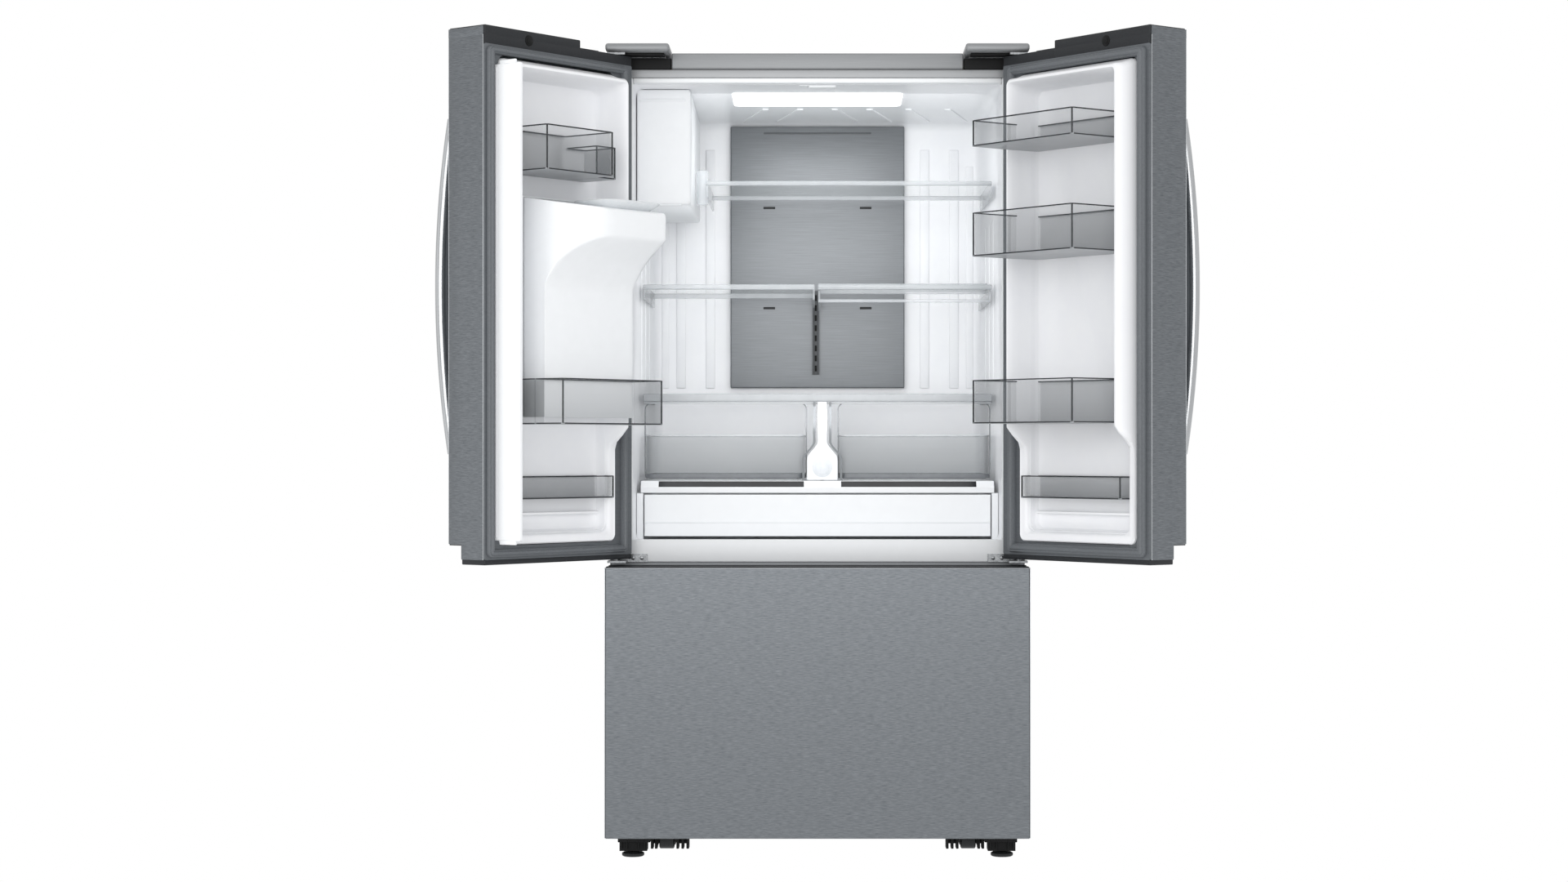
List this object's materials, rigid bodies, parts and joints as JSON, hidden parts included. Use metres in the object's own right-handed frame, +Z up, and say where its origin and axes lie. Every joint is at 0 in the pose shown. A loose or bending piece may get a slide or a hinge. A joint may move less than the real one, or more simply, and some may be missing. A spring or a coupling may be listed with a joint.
{
  "type": "french door refrigerator",
  "caption": "Tall free-standing refrigerator with french doors standing open over a bottom freezer drawer, with shelves, crispers, a pantry drawer, door bins and a door ice dispenser.",
  "frame": {"origin": "on the floor, under the middle of the whole object's bounding box with both doors standing open", "axes": "+Z up, +X to the right of someone facing the front, +Y towards the back panel"},
  "size_m": [1.5838, 1.1839, 1.756],
  "materials": {
    "brushed_steel": "satin",
    "satin_handle": "satin",
    "cabinet_paint": "satin",
    "white_plastic": "satin",
    "insulation_foam": "matte",
    "seal_vinyl": "matte",
    "black_plastic": "matte",
    "copper_tube": "satin",
    "plated_steel": "satin",
    "grey_plastic": "matte",
    "duct_metal": "satin",
    "lamp_lens": "matte",
    "shelf_glass": "gloss",
    "clear_plastic": "gloss",
    "roller_nylon": "matte"
  },
  "bodies": {
    "root": {"cabinet_shell": "cabinet_paint", "base_plate": "cabinet_paint", "front_frame": "white_plastic", "fridge_liner": "white_plastic", "freezer_liner": "white_plastic", "ice_maker_housing": "white_plastic", "pantry_cover": "white_plastic", "cabinet_foam": "insulation_foam", "machine_cover": "black_plastic", "compressor": "black_plastic", "foot_bracket_left": "black_plastic", "foot_bracket_right": "black_plastic", "condenser_coil": "copper_tube", "top_hinge_left": "plated_steel", "top_hinge_right": "plated_steel", "centre_hinge_left": "plated_steel", "centre_hinge_right": "plated_steel", "freezer_slide_left": "plated_steel", "freezer_slide_right": "plated_steel", "hinge_cover_left": "grey_plastic", "hinge_cover_right": "grey_plastic", "rear_duct_panel": "duct_metal", "ceiling_lamp": "lamp_lens", "top_shelf": "shelf_glass", "left_shelf": "shelf_glass", "right_shelf_rear": "shelf_glass", "crisper_cover": "shelf_glass"},
    "left_door": {"left_door_skin": "brushed_steel", "left_door_liner": "white_plastic", "left_door_gasket": "seal_vinyl", "left_door_handle": "satin_handle", "left_bin_top": "clear_plastic", "left_bin_large": "clear_plastic", "left_bin_bottom": "clear_plastic", "dispenser_housing": "black_plastic"},
    "right_door": {"right_door_skin": "brushed_steel", "right_door_liner": "white_plastic", "right_door_gasket": "seal_vinyl", "right_door_handle": "satin_handle", "right_bin_top": "clear_plastic", "right_bin_middle": "clear_plastic", "right_bin_large": "clear_plastic", "right_bin_bottom": "clear_plastic"},
    "flap": {"mullion_flap": "white_plastic"},
    "paddle": {"dispenser_lever": "grey_plastic"},
    "freezer_drawer": {"freezer_skin": "brushed_steel", "freezer_door_liner": "white_plastic", "freezer_gasket": "seal_vinyl", "freezer_basket": "white_plastic"},
    "left_crisper": {"crisper_left": "clear_plastic"},
    "right_crisper": {"crisper_right": "clear_plastic"},
    "pantry": {"pantry_drawer": "clear_plastic"},
    "slide_in_shelf": {"right_shelf_slide": "shelf_glass"},
    "left_leg": {"level_leg_left": "grey_plastic"},
    "right_leg": {"level_leg_right": "grey_plastic"},
    "fan": {"condenser_fan": "black_plastic"},
    "front_wheel_left": {"front_roller_left": "roller_nylon"},
    "front_wheel_right": {"front_roller_right": "roller_nylon"},
    "rear_wheel_left": {"rear_roller_left": "roller_nylon"},
    "rear_wheel_right": {"rear_roller_right": "roller_nylon"}
  },
  "joints": [
    {"name": "left_door_hinge", "type": "hinge", "parent": "root", "child": "left_door", "pos_m": [-0.434, -0.193, 1.2], "axis": [0, 0, -1], "range_deg": [-127.7, 2.3]},
    {"name": "right_door_hinge", "type": "hinge", "parent": "root", "child": "right_door", "pos_m": [0.434, -0.193, 1.2], "axis": [0, 0, 1], "range_deg": [-127.7, 2.3]},
    {"name": "flap_hinge", "type": "hinge", "parent": "left_door", "child": "flap", "pos_m": [-0.65155, -0.53988, 1.18], "axis": [0, 0, 1], "range_deg": [-90, 0]},
    {"name": "paddle_hinge", "type": "hinge", "parent": "left_door", "child": "paddle", "pos_m": [-0.55165, -0.34031, 1.292], "axis": [-0.6115, -0.7912, 0], "range_deg": [0, 7], "stiffness_Nm_per_rad": 0.5},
    {"name": "freezer_travel", "type": "slide", "parent": "root", "child": "freezer_drawer", "axis": [0, -1, 0], "range_m": [0, 0.42]},
    {"name": "left_crisper_travel", "type": "slide", "parent": "root", "child": "left_crisper", "axis": [0, -1, 0], "range_m": [0, 0.28]},
    {"name": "right_crisper_travel", "type": "slide", "parent": "root", "child": "right_crisper", "axis": [0, -1, 0], "range_m": [0, 0.28]},
    {"name": "pantry_travel", "type": "slide", "parent": "root", "child": "pantry", "axis": [0, -1, 0], "range_m": [0, 0.33]},
    {"name": "slide_in_shelf_travel", "type": "slide", "parent": "root", "child": "slide_in_shelf", "axis": [0, 1, 0], "range_m": [0, 0.18]},
    {"name": "left_leg_screw", "type": "hinge", "parent": "root", "child": "left_leg", "pos_m": [-0.401, -0.138, 0.02], "axis": [0, 0, 1], "continuous": true},
    {"name": "front_wheel_left_spin", "type": "hinge", "parent": "root", "child": "front_wheel_left", "pos_m": [-0.33, -0.088, 0.029], "axis": [1, 0, 0], "continuous": true},
    {"name": "rear_wheel_left_spin", "type": "hinge", "parent": "root", "child": "rear_wheel_left", "pos_m": [-0.385, 0.532, 0.02], "axis": [1, 0, 0], "continuous": true},
    {"name": "right_leg_screw", "type": "hinge", "parent": "root", "child": "right_leg", "pos_m": [0.401, -0.138, 0.02], "axis": [0, 0, 1], "continuous": true},
    {"name": "front_wheel_right_spin", "type": "hinge", "parent": "root", "child": "front_wheel_right", "pos_m": [0.33, -0.088, 0.029], "axis": [1, 0, 0], "continuous": true},
    {"name": "rear_wheel_right_spin", "type": "hinge", "parent": "root", "child": "rear_wheel_right", "pos_m": [0.385, 0.532, 0.02], "axis": [1, 0, 0], "continuous": true},
    {"name": "fan_spin", "type": "hinge", "parent": "root", "child": "fan", "pos_m": [0.05, 0.447, 0.18], "axis": [0, 1, 0], "continuous": true}
  ]
}
